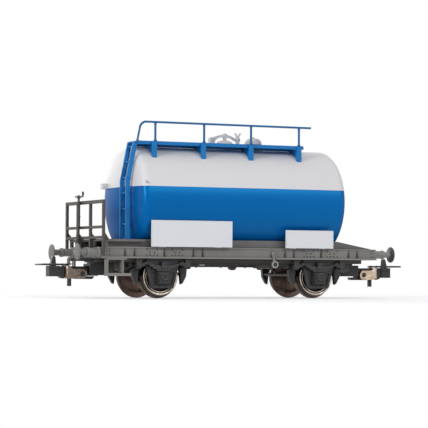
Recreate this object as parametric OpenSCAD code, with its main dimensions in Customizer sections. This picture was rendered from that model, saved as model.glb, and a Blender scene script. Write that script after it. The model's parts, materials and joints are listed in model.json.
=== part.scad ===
// Two-axle railway tank wagon, built as a 1:87 model that runs on 16.5 mm gauge track.
// +X runs along the wagon, with the railed platform at the -X end, called left.
// The walkway and the ladder are on the -Y side, called near. The wheel flanges stand on z = 0.

/* [Tank] */
// Outer radius of the tank barrel
tank_r = 15.4; // [15.2:0.05:15.5]
// Half length of the straight part of the barrel
barrel_half = 30.3; // [30:0.1:30.6]
// Depth of each dished end
dish_depth = 4.1; // [3.9:0.05:4.15]
// Radius of the knuckle between a dished end and the barrel
knuckle_r = 2.3; // [2:0.1:2.5]
// Height of the tank's centre line above the floor
tank_z = 28.25; // [28.1:0.05:28.4]

/* [Frame] */
// Half length over the outer faces of the headstocks
frame_half = 43.5; // [43.3:0.1:43.8]
// Half width over the solebar webs
solebar_y = 12.9; // [12.7:0.05:13]
// Height of the underside of the solebars
solebar_low = 11.3; // [11.2:0.05:11.4]
// Height of the top of the solebars
solebar_top = 14.5; // [14.4:0.05:14.6]
// Thickness of the floor plate
floor_t = 1.4; // [1.2:0.1:1.5]

/* [Running gear] */
// Distance between the two axles
wheelbase = 50; // [49.6:0.1:50.4]
// Radius of the wheel tread
tread_r = 5.5; // [5.4:0.05:5.6]
// How far the wheel flange stands out beyond the tread
flange_h = 0.7; // [0.6:0.05:0.8]
// Distance between the backs of the two wheels on an axle
back_to_back = 14.4; // [14.3:0.05:14.5]
// Width of a wheel with its flange
wheel_w = 2.8; // [2.6:0.1:2.8]
// Radius of the axle
axle_r = 1; // [0.9:0.05:1.1]

/* [Buffers and couplers] */
// Half length over the buffer faces
buffer_half = 50.6; // [50.2:0.1:51]
// Distance of each buffer from the wagon's centre plane
buffer_y = 10.05; // [9.8:0.05:10.3]
// Height of the buffer centres
buffer_z = 13; // [12.8:0.05:13.1]
// Diameter of a buffer disc
buffer_d = 4.7; // [4.4:0.1:5]
// Half length over the coupler loops
loop_half = 58.2; // [58:0.1:58.6]

/* [Walkway and ladder] */
// Height of the walkway's tread
walkway_top = 44.7; // [44.6:0.05:44.8]
// Height of the handrail's centre line
handrail_z = 50.1; // [49.6:0.1:50.5]

/* [Hidden] */
$fn = 64;
cut = 1;

// Colours
tank_blue = "#1568b0";
walk_blue = "#3a80c0";
frame_grey = "#7d7a76";
dark_grey = "#55544f";
rail_grey = "#6a6058";
near_black = "#2d2d2e";
pale_grey = "#cdcdd0";
sign_white = "#f4f4f4";
bronze = "#b59a80";
nickel = "#c9c4bd";

// Tank
crown_r = (pow(dish_depth, 2) - pow(knuckle_r, 2) + pow(tank_r - knuckle_r, 2))
    / (2 * (dish_depth - knuckle_r));
// Angle from the axis, seen from the crown's centre, at which the crown meets the knuckle
crown_turn = asin((tank_r - knuckle_r) / (crown_r - knuckle_r));

// Frame
axle_x = wheelbase / 2;
axle_z = tread_r + flange_h;
flange_r = tread_r + flange_h;
web_t = 0.7;
flange_y = solebar_y + 0.4;
flange_t = 0.5;
headstock_t = 0.9;
floor_low = 10.2;
floor_top = floor_low + floor_t;
web_in = solebar_y - web_t;
floor_y = 10.6;
beam_y = [9.7, 11.5];
beam_top = 16.7;
deck_low = 16.1;
deck_top = 16.6;
deck_y = 13.5;
deck_right = -31.4;
rail_in = -frame_half - 0.3;
rail_out = rail_in - 0.7;

// Running gear
wheel_back = back_to_back / 2;
wheel_face = wheel_back + wheel_w;
guard_y = [floor_y, 11.4];
journal_r = 0.5;
journal_gap = 0.06;
journal_end = 12.2;
box_y = 12.7;
well = [axle_x - flange_r - 0.5, axle_x + flange_r + 0.5];

// Couplers, measured outwards along X from the middle of the wagon
pocket = [38, 43.5];
pocket_y = 2.7;
swing_x = 41;
swing_pin_r = 0.6;
shank_z = [7.3, 8.9];
body_y = 1;
strap_pin = [45.65, 6.9];
strap_pin_r = 0.6;
strap_y = [1.9, 2.35];
strap_front = 50.6;
wire_z = [9.25, 9.75];

// Walkway
bracket_x = [-27, -11.6, 3.65, 19.35];
walkway_x = [-32.2, 21.1];
walkway_y = [-9.4, -3.2];
walkway_t = 0.6;
walkway_fascia = 1;
rail_x = [-26.7, -11.4, 3.65, 19.35];
handrail_r = 0.3;
handrail_bend_r = 2;
ladder_y = [-9.15, -5.1];
ladder_foot_x = -34.9;
ladder_bend_z = 33.3;
ladder_top = [-32.65, 44.4];

module box(low, high) {
    translate(low) cube(high - low);
}

module rod(from, to, r) {
    run = to - from;
    length = norm(run);
    translate(from) rotate([0, acos(run[2] / length), atan2(run[1], run[0])])
        cylinder(h = length, r = r, $fn = 32);
}

// An outline in X and Z, given thickness in Y
module plate_xz(points, y) {
    translate([0, y[1], 0]) rotate([90, 0, 0]) linear_extrude(y[1] - y[0]) polygon(points);
}

// An outline in Y and Z, given thickness in X
module plate_yz(points, x) {
    translate([x[0], 0, 0]) rotate([90, 0, 90]) linear_extrude(x[1] - x[0]) polygon(points);
}

module disc_y(x, z, r, y) {
    translate([x, y[1], z]) rotate([90, 0, 0]) cylinder(h = y[1] - y[0], r = r, $fn = 48);
}

module both_sides() {
    children();
    mirror([0, 1, 0]) children();
}

module both_ends() {
    children();
    mirror([1, 0, 0]) children();
}

// ---- Tank ----

// Radius and height points of one dished end, from its rim to its middle
function dish_points() = concat(
    [for (i = [0:6]) let (a = i / 6 * (90 - crown_turn))
        [tank_r - knuckle_r + knuckle_r * cos(a), knuckle_r * sin(a)]],
    [for (i = [1:10]) let (a = crown_turn * (1 - i / 10))
        [crown_r * sin(a), dish_depth - crown_r + crown_r * cos(a)]]);

module tank_shell(grow = 0) {
    right = [for (p = dish_points()) [p[0] + (p[0] > 0.01 ? grow : 0), barrel_half + p[1] + grow]];
    left = [for (p = right) [p[0], -p[1]]];
    outline = concat(right, [for (i = [len(left) - 1:-1:0]) left[i]]);
    translate([0, 0, tank_z]) rotate([0, 90, 0]) rotate_extrude($fn = 128) polygon(outline);
}

module tank() {
    color(tank_blue) tank_shell();
}

module tank_saddles() {
    saddle_x = [29.6, 31];
    color(dark_grey) both_ends() difference() {
        box([saddle_x[0], -beam_y[0], floor_top], [saddle_x[1], beam_y[0], beam_top]);
        tank_shell();
        box([saddle_x[0] - cut, -10.4, floor_top - cut], [well[1], 10.4, 13]);
    }
}

module manhole_cover() {
    cover_x = -0.3;
    color(pale_grey) difference() {
        union() {
            translate([cover_x, 0, tank_z]) cylinder(h = tank_r + 1, r = 2.9);
            translate([cover_x, 0, tank_z + tank_r + 1]) cylinder(h = 0.35, r = 3.2);
            translate([cover_x, 0, tank_z + tank_r + 1.35]) rotate_extrude($fn = 64)
                polygon([[0, -0.1], [2.5, -0.1], [2.5, 0.3], [2.1, 0.8], [1.2, 1.2], [0, 1.3]]);
        }
        tank_shell();
    }
}

module manhole_clamp() {
    arch_y = [-0.45, 0.45];
    base = tank_z + tank_r - 0.3;
    color(pale_grey) difference() {
        union() {
            // hinge lugs and swing bolt on either side of the cover
            box([-5.2, -0.8, base], [-3.65, 0.8, 46.9]);
            box([3.3, -0.8, base], [4.7, 0.8, 45.2]);
            translate([4, 0, 44.5]) cylinder(h = 2.9, r = 0.6);
            translate([4, 0, 46.6]) cylinder(h = 0.4, r = 0.75);
            rod([4, 0, 47.2], [3.2, 0, 48.5], 0.3);
            rod([4, 0, 47.2], [4.9, 0, 48.5], 0.3);
            // arched bar over the cover
            plate_xz([[-4.8, 46], [-3.6, 46], [-2.8, 46.7], [-1.6, 47.1], [0, 47.2], [1.8, 46.9], [3.2, 46.1],
                [4.7, 46.1], [4.7, 46.7], [3.3, 46.8], [1.8, 47.6], [0, 48], [-1.6, 47.9], [-3, 47.5],
                [-4.1, 47.1], [-4.8, 47.1]], arch_y);
            translate([-0.2, 0, 46.35]) cylinder(h = 1.95, r = 0.5);
        }
        tank_shell();
    }
}

module valve_cap() {
    cap_x = 9.15;
    color(pale_grey) difference() {
        union() {
            translate([cap_x, 0, tank_z]) cylinder(h = tank_r + 1.7, r = 2.3);
            translate([cap_x, 0, tank_z + tank_r + 1.7]) cylinder(h = 0.5, r = 2.55);
            translate([cap_x, 0, tank_z + tank_r + 2.2]) rotate_extrude($fn = 64)
                polygon([[0, -0.1], [2.35, -0.1], [2.35, 0.35], [2.05, 0.9], [1.4, 1.25], [0, 1.35]]);
        }
        tank_shell();
    }
}

// Small closed box on the far side of the left dished end
module valve_box() {
    color(sign_white) difference() {
        box([-34.85, 9.6, 31.55], [-31.5, 11.4, 33.2]);
        tank_shell();
    }
}

// ---- Frame ----

module floor_plate() {
    color(near_black) difference() {
        box([-frame_half + headstock_t, -floor_y, floor_low], [frame_half - headstock_t, floor_y, floor_top]);
        both_ends() both_sides()
            box([well[0], 6.8, floor_low - cut], [well[1], 10.4, floor_top + cut]);
        // corners left out beside the coupler pockets
        both_ends() both_sides() box([40, 3.5, floor_low - cut], [frame_half, 11, floor_top + cut]);
    }
}

module ballast_weight() {
    color(nickel) box([-34, -6.4, floor_top], [34, 6.4, floor_top + 1.1]);
}

module solebar() {
    // rib positions from an axle, towards the end of the wagon
    rib_steps = [-11.8, -8.9, 0.15, 9.3, 12.2];
    rib_out = 0.35;
    color(frame_grey) {
        box([-frame_half, web_in, solebar_low], [frame_half, solebar_y, solebar_top]);
        box([-frame_half + headstock_t, beam_y[1], solebar_top - flange_t],
            [frame_half - headstock_t, solebar_y, solebar_top]);
        box([-frame_half - 0.2, web_in, solebar_low], [frame_half + 0.2, flange_y, solebar_low + flange_t]);
        box([-frame_half, web_in, solebar_top - 0.35], [frame_half, solebar_y + 0.15, solebar_top]);
        both_ends() for (step = rib_steps) let (x = axle_x + step)
            plate_yz([[solebar_y - 0.1, solebar_low + flange_t - 0.1],
                [solebar_y + rib_out, solebar_low + flange_t - 0.1],
                [solebar_y + 0.12, solebar_top - 0.3], [solebar_y - 0.1, solebar_top - 0.3]],
                [x - 0.15, x + 0.15]);
    }
}

module solebar_far() {
    solebar();
}

module solebar_near() {
    mirror([0, 1, 0]) solebar();
}

module headstock() {
    inner = frame_half - headstock_t;
    color(frame_grey) {
        box([inner, -web_in, solebar_low], [frame_half, web_in, solebar_top - 0.1]);
        both_sides() translate([frame_half, buffer_y, buffer_z]) rotate([0, 90, 0])
            cylinder(h = 0.35, r = 1.45);
    }
}

module headstock_right() {
    headstock();
}

module headstock_left() {
    mirror([1, 0, 0]) headstock();
}

module cradle_beams() {
    slope_start = 31.3;
    end = frame_half - headstock_t;
    color(dark_grey) both_sides() difference() {
        plate_xz([[-end, floor_top], [end, floor_top], [end, solebar_top + 0.1], [slope_start, beam_top],
            [deck_right, beam_top], [deck_right, deck_low], [-end, deck_low]], beam_y);
        tank_shell();
        both_ends() box([well[0], beam_y[0] - cut, floor_top - cut], [well[1], 10.4, 13]);
    }
}

module end_platform() {
    color(dark_grey) difference() {
        union() {
            box([-frame_half, -deck_y, deck_low], [deck_right, deck_y, deck_top]);
            for (y = [-12.9, -4.6, 4.6, 12.9])
                box([-frame_half, y - 0.45, solebar_top],
                    [-frame_half + headstock_t, y + 0.45, deck_low]);
        }
        tank_shell(0.25);
    }
}

module end_railing() {
    post_w = 1;
    posts = [-14, -4.3, 5.3, 13.9];
    top = 27.6;
    color(rail_grey) {
        for (y = posts) {
            box([rail_out, y - post_w / 2, abs(y) > 10 ? 11.9 : 12.6], [rail_in, y + post_w / 2, top]);
            // brace that stands on the deck behind the post
            plate_xz([[rail_in - 0.1, deck_top], [rail_in + 1.3, deck_top], [rail_in - 0.1, deck_top + 2]],
                [y - 0.25, y + 0.25]);
        }
        // pads that hold the posts on the headstock
        for (y = [-12.7, posts[1], posts[2], 12.7])
            box([rail_in - 0.1, y - 0.4, 12.7], [-frame_half, y + 0.4, 14.2]);
        box([rail_out, posts[0] - post_w / 2, top - 1], [rail_in, posts[3] + post_w / 2, top]);
        box([rail_out, posts[0], 19.6], [rail_in, posts[3], 20.4]);
        box([rail_out, posts[0], 16.7], [rail_in, posts[3], 17.5]);
    }
}

module handbrake() {
    brake_x = rail_out - 0.55;
    brake_y = 2.6;
    color(rail_grey) {
        translate([brake_x, brake_y, 13.2]) cylinder(h = 16.1, r = 0.3, $fn = 32);
        translate([brake_x, brake_y, 20]) cylinder(h = 6.4, r = 0.46, $fn = 32);
        // slanting foot that carries the column on the headstock
        plate_yz([[brake_y - 0.4, 20.4], [brake_y + 0.4, 20.4], [brake_y + 1.5, 16.5], [brake_y + 1.5, 11.6],
            [brake_y + 0.6, 11.6], [brake_y + 0.6, 16.3]], [brake_x - 0.3, brake_x + 0.3]);
        box([brake_x, brake_y + 0.6, 11.6], [-frame_half, brake_y + 1.5, 12.5]);
        box([brake_x, brake_y - 0.4, 26.7], [rail_out, brake_y + 0.4, 27.3]);
        // crank with its upright handle
        rod([brake_x, brake_y, 28.7], [brake_x, brake_y + 2.5, 29], 0.24);
        rod([brake_x, brake_y, 28.7], [brake_x, brake_y - 3.2, 28.9], 0.24);
        rod([brake_x, brake_y - 3.2, 28.7], [brake_x, brake_y - 3.2, 30.1], 0.24);
        translate([brake_x, brake_y, 28.3]) cylinder(h = 0.8, r = 0.5, $fn = 32);
    }
}

// ---- Signs ----

module signs() {
    sign_y = [14.25, 14.65];
    low = 14.6;
    long_x = [-29.85, -4.65];
    short_x = [12.65, 28.25];
    color(sign_white) {
        box([long_x[0], sign_y[0], low], [long_x[1], sign_y[1], 22.1]);
        box([short_x[0], sign_y[0], low], [short_x[1], sign_y[1], 19.8]);
        for (x = [long_x[0] + 4, long_x[1] - 4, short_x[0] + 3, short_x[1] - 3])
            box([x - 0.6, solebar_y - 0.5, solebar_top], [x + 0.6, sign_y[0], low + 0.7]);
    }
}

module signs_far() {
    signs();
}

module signs_near() {
    mirror([0, 1, 0]) signs();
}

// ---- Walkway, handrail and ladder ----

module walkway() {
    // the edge on the tank's side is deeper, and ends just above the tank
    color(walk_blue) {
        box([walkway_x[0], walkway_y[0], walkway_top - walkway_t], [walkway_x[1], walkway_y[1], walkway_top]);
        box([walkway_x[0], walkway_y[0], walkway_top - walkway_fascia],
            [walkway_x[1], walkway_y[0] + 0.5, walkway_top]);
        box([walkway_x[0], walkway_y[1] - 0.5, walkway_top - 1.35], [walkway_x[1], walkway_y[1], walkway_top]);
    }
}

module walkway_brackets() {
    flange = [-10, -9.4];
    low = 37.35;
    color(walk_blue) for (x = bracket_x) difference() {
        union() {
            box([x - 0.25, flange[0], low], [x + 0.25, walkway_y[1] - 0.5, walkway_top - walkway_fascia]);
            box([x - 0.75, flange[0], low], [x + 0.75, flange[1], walkway_top]);
        }
        tank_shell();
    }
}

module handrail() {
    post_r = 0.33;
    y = walkway_y[0] - 0.3;
    bend_x = -29.5;
    // angle through which the rail turns down at its left end
    turn = 78;
    bend = [bend_x, y, handrail_z - handrail_bend_r];
    bend_end = bend + handrail_bend_r * [-sin(turn), 0, cos(turn)];
    foot = bend_end - 3.8 * [cos(turn), 0, sin(turn)];
    color(walk_blue) {
        rod([bend_x - 0.1, y, handrail_z], [23, y, handrail_z], handrail_r);
        translate([23, y, handrail_z]) sphere(r = handrail_r + 0.06, $fn = 32);
        translate(bend) intersection() {
            rotate([90, 0, 0]) rotate_extrude($fn = 96)
                translate([handrail_bend_r, 0]) circle(r = handrail_r + 0.03, $fn = 32);
            plate_xz([[0, 0], [0, 4], [-4, 4], 6 * [-sin(turn), cos(turn)]], [-1, 1]);
        }
        rod(bend_end + 0.1 * [cos(turn), 0, sin(turn)], foot, handrail_r);
        box([foot[0] - 0.3, y - 0.3, 44.2], [foot[0] + 0.3, walkway_y[0], foot[2] + 0.1]);
        for (x = rail_x) translate([x, y, walkway_top])
            cylinder(h = handrail_z - walkway_top, r = post_r, $fn = 32);
    }
}

module ladder() {
    side_x = 1.35;
    side_y = 0.5;
    rung_gap = 4.4;
    rung_count = 6;
    foot = ladder_foot_x;
    color(walk_blue) {
        difference() {
            for (y = ladder_y)
                plate_xz([[foot - side_x / 2, deck_top], [foot + side_x / 2, deck_top],
                    [foot + side_x / 2, ladder_bend_z], [ladder_top[0] + side_x / 2, ladder_top[1]],
                    [ladder_top[0] - side_x / 2, ladder_top[1]], [foot - side_x / 2, ladder_bend_z]],
                    [y - side_y / 2, y + side_y / 2]);
            box([walkway_x[0], -20, walkway_top - walkway_fascia], [0, 0, walkway_top + 5]);
        }
        for (i = [1:rung_count]) let (z = deck_top + i * rung_gap)
            translate([rung_x(z), ladder_y[1], z]) rotate([90, 0, 0])
                cylinder(h = ladder_y[1] - ladder_y[0], r = 0.25, $fn = 32);
    }
}
function rung_x(z) = z < ladder_bend_z ? ladder_foot_x :
    ladder_foot_x + (ladder_top[0] - ladder_foot_x) * (z - ladder_bend_z) / (ladder_top[1] - ladder_bend_z);

// ---- Running gear ----

// Wheel outline: radius, then distance outwards from the back of the wheel
module wheel() {
    hub_r = 1.9;
    rim_r = 4.3;
    color(nickel) translate([0, wheel_back, 0]) rotate([-90, 0, 0]) rotate_extrude($fn = 96)
        polygon([[axle_r, 0], [hub_r, 0], [hub_r, 0.5], [rim_r, 0.5], [rim_r, 0], [flange_r - 0.25, 0],
            [flange_r, 0.2], [flange_r, 0.4], [flange_r - 0.2, 0.65], [tread_r + 0.15, 0.85], [tread_r, 1.1],
            [tread_r - 0.08, wheel_w - 0.15], [tread_r - 0.2, wheel_w], [rim_r, wheel_w], [rim_r, 1.6],
            [hub_r, 1.6], [hub_r, wheel_w - 0.3], [axle_r, wheel_w - 0.3]]);
}

module wheel_at(x, side) {
    translate([x, 0, axle_z]) if (side > 0) wheel(); else mirror([0, 1, 0]) wheel();
}

module wheel_left_near() {
    wheel_at(-axle_x, -1);
}

module wheel_left_far() {
    wheel_at(-axle_x, 1);
}

module wheel_right_near() {
    wheel_at(axle_x, -1);
}

module wheel_right_far() {
    wheel_at(axle_x, 1);
}

module axle(x) {
    shoulder = wheel_face + 0.15;
    color(dark_grey) translate([x, 0, axle_z]) rotate([-90, 0, 0]) rotate_extrude($fn = 64)
        polygon([[0, -journal_end], [0.15, -journal_end], [journal_r, -journal_end + 0.5],
            [journal_r, -shoulder], [axle_r, -shoulder], [axle_r, shoulder], [journal_r, shoulder],
            [journal_r, journal_end - 0.5], [0.15, journal_end], [0, journal_end]]);
}

module axle_left() {
    axle(-axle_x);
}

module axle_right() {
    axle(axle_x);
}

// One axle guard with its axle box, about an axle at x = 0
module axle_guard() {
    top_half = 4.9;
    foot_half = 3.4;
    foot_z = 2.9;
    shoulder_z = 8.6;
    difference() {
        union() {
            plate_xz([[-foot_half, foot_z], [foot_half, foot_z], [top_half, shoulder_z],
                [top_half, floor_top], [-top_half, floor_top], [-top_half, shoulder_z]], guard_y);
            box([-1.9, guard_y[1] - 0.1, 4], [1.9, box_y - 0.4, 7.6]);
            box([-1.6, guard_y[1], 4.2], [1.6, box_y, 7.4]);
            disc_y(0, axle_z, 1.1, [box_y - 0.1, box_y + 0.3]);
            box([-foot_half + 0.2, guard_y[0], foot_z], [foot_half - 0.2, guard_y[1] + 0.3, foot_z + 0.7]);
        }
        // recesses between the legs and the axle box
        for (side = [-1, 1])
            plate_xz([[side * 2.1, 3.9], [side * 2.8, 3.9], [side * 3.8, 7.4], [side * 2.1, 7.4]],
                [guard_y[1] - 0.3, guard_y[1] + cut]);
        disc_y(0, axle_z, journal_r + journal_gap, [guard_y[0] - cut, journal_end + 0.15]);
    }
}

module axle_guards() {
    color(near_black) for (x = [-axle_x, axle_x]) translate([x, 0, 0]) axle_guard();
}

module axle_guards_far() {
    axle_guards();
}

module axle_guards_near() {
    mirror([0, 1, 0]) axle_guards();
}

// One leaf spring over its axle box, with the hangers that carry its ends
module leaf_spring() {
    spring_y = [guard_y[1], 12.6];
    leaves = 4;
    leaf_t = 0.4;
    eye = [5.6, 9.9];
    hanger = [7.6, 9];
    for (i = [0:leaves - 1])
        let (half = eye[0] - i * 1.1, low = 8.85 - i * leaf_t, sag = 0.95 * pow(half / eye[0], 2))
        plate_xz(concat([for (k = [-4:4]) [half * k / 4, low + sag * pow(k / 4, 2)]],
            [for (k = [4:-1:-4]) [half * k / 4, low + leaf_t + sag * pow(k / 4, 2)]]), spring_y);
    box([-0.8, spring_y[0], 7.65], [0.8, spring_y[1] + 0.2, 10.4]);
    for (side = [-1, 1]) {
        disc_y(side * eye[0], eye[1], 0.45, spring_y);
        disc_y(side * hanger[0], hanger[1], 0.7, spring_y);
        plate_xz([[side * (hanger[0] - 0.7), hanger[1]], [side * (hanger[0] + 0.7), hanger[1]],
            [side * (hanger[0] + 0.9), solebar_low], [side * (hanger[0] - 0.9), solebar_low]], [11.7, 12.4]);
        plate_xz([[side * (eye[0] - 0.1), eye[1] - 0.45], [side * hanger[0], hanger[1] - 0.6],
            [side * hanger[0], hanger[1] + 0.6], [side * (eye[0] + 0.1), eye[1] + 0.45]], spring_y);
    }
}

module leaf_springs() {
    color(near_black) for (x = [-axle_x, axle_x]) translate([x, 0, 0]) leaf_spring();
}

module leaf_springs_far() {
    leaf_springs();
}

module leaf_springs_near() {
    mirror([0, 1, 0]) leaf_springs();
}

// ---- Brakes ----

module brake_shoe() {
    shoe_y = [7.9, 9.2];
    difference() {
        plate_xz([[6.3, 8.7], [6.8, 4], [7.35, 4.3], [8.4, 6.2], [8.6, 8.3], [8.3, 8.7]], shoe_y);
        disc_y(0, axle_z, flange_r + 0.3, [shoe_y[0] - cut, shoe_y[1] + cut]);
    }
    plate_xz([[7.3, 8.2], [8.5, 8.2], [8.5, floor_low], [7.5, floor_low]], [8.1, 8.9]);
}

module brake_shoes() {
    color(near_black) for (x = [-axle_x, axle_x]) translate([x, 0, 0]) both_ends() both_sides() brake_shoe();
}

module brake_beams() {
    color(near_black) for (x = [-axle_x, axle_x]) translate([x, 0, 0]) both_ends()
        rod([7.8, -7.6, 6.9], [7.8, 7.6, 6.9], 0.45);
}

module air_reservoir() {
    color(near_black) difference() {
        union() {
            translate([6.6, -6, 9.65]) rotate([0, 90, 0]) cylinder(h = 6.4, r = 0.95);
            for (x = [7.6, 11.6]) translate([x, -6, 9.65]) rotate([0, 90, 0]) cylinder(h = 0.6, r = 1.1);
        }
        box([5, -8, floor_low], [15, -4, floor_low + 2]);
    }
}

module brake_cylinder() {
    color(near_black) difference() {
        union() {
            box([-8.5, -2, 9.9], [-4.5, 2, floor_low]);
            box([-4.5, -2, 9.3], [4.8, 2, floor_low]);
            translate([-6, 0, 9.9]) rotate([0, 90, 0]) cylinder(h = 11, r = 0.9);
            disc_y(2.4, 9.3, 1.15, [-0.8, 0.8]);
            box([4.8, -3, 9], [9, 1.5, floor_low]);
        }
        box([-10, -5, floor_low], [10, 5, floor_low + 3]);
    }
}

module changeover_lever() {
    lever_y = [solebar_y, solebar_y + 0.7];
    color(frame_grey) {
        disc_y(9, 13, 0.45, lever_y);
        plate_xz([[8.7, 13], [9.3, 13], [9.85, 9.9], [9.25, 9.9]], [solebar_y + 0.41, solebar_y + 0.8]);
        disc_y(9.55, 9.8, 0.95, [solebar_y + 0.41, solebar_y + 1.1]);
    }
}

module changeover_levers() {
    mirror([0, 1, 0]) changeover_lever();
    changeover_lever();
}

// ---- Steps ----

module corner_step() {
    step_x = [-42.8, -37.7];
    board_x = -35.5;
    side_y = [11.4, 13.4];
    side_t = 0.45;
    color(frame_grey) {
        box([step_x[0], side_y[0], 10.8], [-36.7, side_y[1], solebar_low]);
        for (x = [step_x[0], step_x[1] - side_t])
            box([x, side_y[0], 6.6], [x + side_t, side_y[1], 11]);
        box([step_x[0], side_y[0] - 0.2, 6.3], [board_x, side_y[1] + 0.1, 7.1]);
    }
}

module corner_steps() {
    both_sides() corner_step();
}

// ---- Buffers ----

module buffer_pair() {
    base_x = frame_half + 0.35;
    sleeve_end = 47.8;
    sleeve_r = 1.1;
    color(dark_grey) both_sides() translate([0, buffer_y, buffer_z]) rotate([0, 90, 0])
        rotate_extrude($fn = 64) polygon([[0, base_x], [1.45, base_x], [sleeve_r, base_x + 0.8],
            [sleeve_r, sleeve_end - 0.9], [sleeve_r + 0.15, sleeve_end - 0.8],
            [sleeve_r + 0.15, sleeve_end], [0.8, sleeve_end],
            [0.8, buffer_half - 0.9], [1.3, buffer_half - 0.5], [buffer_d / 2, buffer_half - 0.5],
            [buffer_d / 2, buffer_half - 0.15], [buffer_d / 2 - 0.3, buffer_half], [0, buffer_half]]);
}

module buffers_right() {
    buffer_pair();
}

module buffers_left() {
    mirror([1, 0, 0]) buffer_pair();
}

// ---- Couplers ----

module coupler_pocket() {
    slot_y = 1.9;
    slot_z = [7.1, 9.1];
    slot_back = 39.3;
    pocket_z = [6.5, 9.8];
    color(near_black) {
        difference() {
            union() {
                box([pocket[0], -pocket_y, pocket_z[0]], [pocket[1], pocket_y, pocket_z[1]]);
                box([pocket[0], -pocket_y, pocket_z[0]], [41.4, pocket_y, floor_low]);
            }
            box([slot_back, -slot_y, slot_z[0]], [pocket[1] + cut, slot_y, slot_z[1]]);
        }
        translate([swing_x, 0, slot_z[0] - 0.2]) cylinder(h = slot_z[1] - slot_z[0] + 0.4, r = swing_pin_r);
    }
}

// Flat plate that reaches out from the floor under the headstock
module draw_plate(plate_end) {
    color(near_black) box([frame_half - headstock_t, -3, 10.5], [plate_end, 3, solebar_low]);
}

module coupler_pocket_right() {
    coupler_pocket();
    draw_plate(44.2);
}

module coupler_pocket_left() {
    mirror([1, 0, 0]) {
        coupler_pocket();
        draw_plate(48.2);
    }
}

module draw_hook() {
    color(frame_grey) mirror([1, 0, 0])
        plate_xz([[48.2, 10.7], [48.2, 11.6], [48.8, 11.8], [49.4, 11.3], [49.5, 10.2], [49.1, 9.5],
            [48.4, 9.4], [48.1, 9.7], [48.6, 9.9], [48.7, 10.3]], [-0.3, 0.3]);
}

module coupler() {
    head_x = [52.3, 55.4];
    head_z = [6.1, 9.1];
    color(near_black) difference() {
        union() {
            // shank with its eye round the swing pin
            translate([swing_x, 0, shank_z[0]]) cylinder(h = shank_z[1] - shank_z[0], r = 1.4);
            box([swing_x, -0.95, shank_z[0]], [47, 0.95, shank_z[1]]);
            // body from the lug below the pocket to the belly behind the head
            plate_xz([[41.7, 5.9], [42.2, 5.4], [47.2, 5.4], [47.2, 7.9], [strap_front + 0.1, 7.9],
                [strap_front + 0.1, 5.5], [51.6, 5.7], [52.2, 6.3], [52.6, 7.3], [52.6, 9], [43.9, 9],
                [43.9, 6.2], [41.7, 6.2]], [-body_y, body_y]);
            // head with the hook that stands up from it
            box([head_x[0], -1.3, head_z[0]], [head_x[1], 1.3, head_z[1]]);
            plate_xz([[53, 9], [53.2, 11.5], [53.4, 11.8], [53.9, 11.8], [54.1, 11.6], [54.7, 9]],
                [-0.6, 0.6]);
            disc_y(strap_pin[0], strap_pin[1], strap_pin_r, [-2.55, 2.55]);
        }
        translate([swing_x, 0, shank_z[0] - cut]) cylinder(h = 4, r = swing_pin_r + journal_gap);
    }
}

module coupler_right() {
    coupler();
}

module coupler_left() {
    mirror([1, 0, 0]) coupler();
}

// Quarter of a ring about the Z axis, in the +X +Y corner
module quarter_ring(outer, inner, z) {
    intersection() {
        difference() {
            translate([0, 0, z[0]]) cylinder(h = z[1] - z[0], r = outer);
            translate([0, 0, z[0] - cut]) cylinder(h = z[1] - z[0] + 2 * cut, r = inner);
        }
        translate([0, 0, z[0] - cut]) cube([outer + cut, outer + cut, z[1] - z[0] + 2 * cut]);
    }
}

// Bent strap round the coupler's body, with the tab that hangs below it
module strap() {
    strap_z = [5.5, 8.3];
    bend_z = [5.9, 9.25];
    bend_r = 1.2;
    bend_x = strap_front - bend_r;
    color(bronze) difference() {
        union() {
            both_sides() {
                disc_y(strap_pin[0], strap_pin[1], 1.4, strap_y);
                plate_xz([[strap_pin[0], strap_z[0]], [bend_x, strap_z[0]], [bend_x, 9],
                    [bend_x - 0.8, strap_z[1]], [strap_pin[0], strap_z[1]]], strap_y);
                translate([bend_x, strap_y[1] - bend_r, 0])
                    quarter_ring(bend_r, bend_r - 0.45, bend_z);
            }
            box([48.3, -strap_y[1], strap_z[0]], [bend_x, strap_y[1], strap_z[0] + 0.4]);
            box([48.4, -0.5, 3.4], [49.3, 0.5, strap_z[0] + 0.2]);
        }
        disc_y(strap_pin[0], strap_pin[1], strap_pin_r + journal_gap, [-3, 3]);
    }
}

module strap_right() {
    strap();
}

module strap_left() {
    mirror([1, 0, 0]) strap();
}

// Flat wire loop that lies over the hook
module loop_wire() {
    wire = 0.6;
    half = 4.2;
    corner = 1.6;
    root = strap_front - 0.6;
    color(near_black) both_sides() {
        box([root, 1.3, wire_z[0]], [root + wire, half, wire_z[1]]);
        box([root, half - wire, wire_z[0]], [loop_half - corner, half, wire_z[1]]);
        translate([loop_half - corner, half - corner, 0]) quarter_ring(corner, corner - wire, wire_z);
        box([loop_half - wire, -0.1, wire_z[0]], [loop_half, half - corner, wire_z[1]]);
    }
}

module loop_wire_right() {
    loop_wire();
}

module loop_wire_left() {
    mirror([1, 0, 0]) loop_wire();
}

floor_plate();
ballast_weight();
solebar_near();
solebar_far();
headstock_left();
headstock_right();
cradle_beams();
tank_saddles();
tank();
manhole_cover();
manhole_clamp();
valve_cap();
valve_box();
walkway();
walkway_brackets();
handrail();
ladder();
end_platform();
end_railing();
handbrake();
signs_near();
signs_far();
buffers_left();
buffers_right();
axle_guards_near();
axle_guards_far();
leaf_springs_near();
leaf_springs_far();
brake_shoes();
brake_beams();
air_reservoir();
brake_cylinder();
changeover_levers();
corner_steps();
coupler_pocket_left();
coupler_pocket_right();
draw_hook();
axle_left();
wheel_left_near();
wheel_left_far();
axle_right();
wheel_right_near();
wheel_right_far();
coupler_left();
coupler_right();
strap_left();
strap_right();
loop_wire_left();
loop_wire_right();
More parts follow.
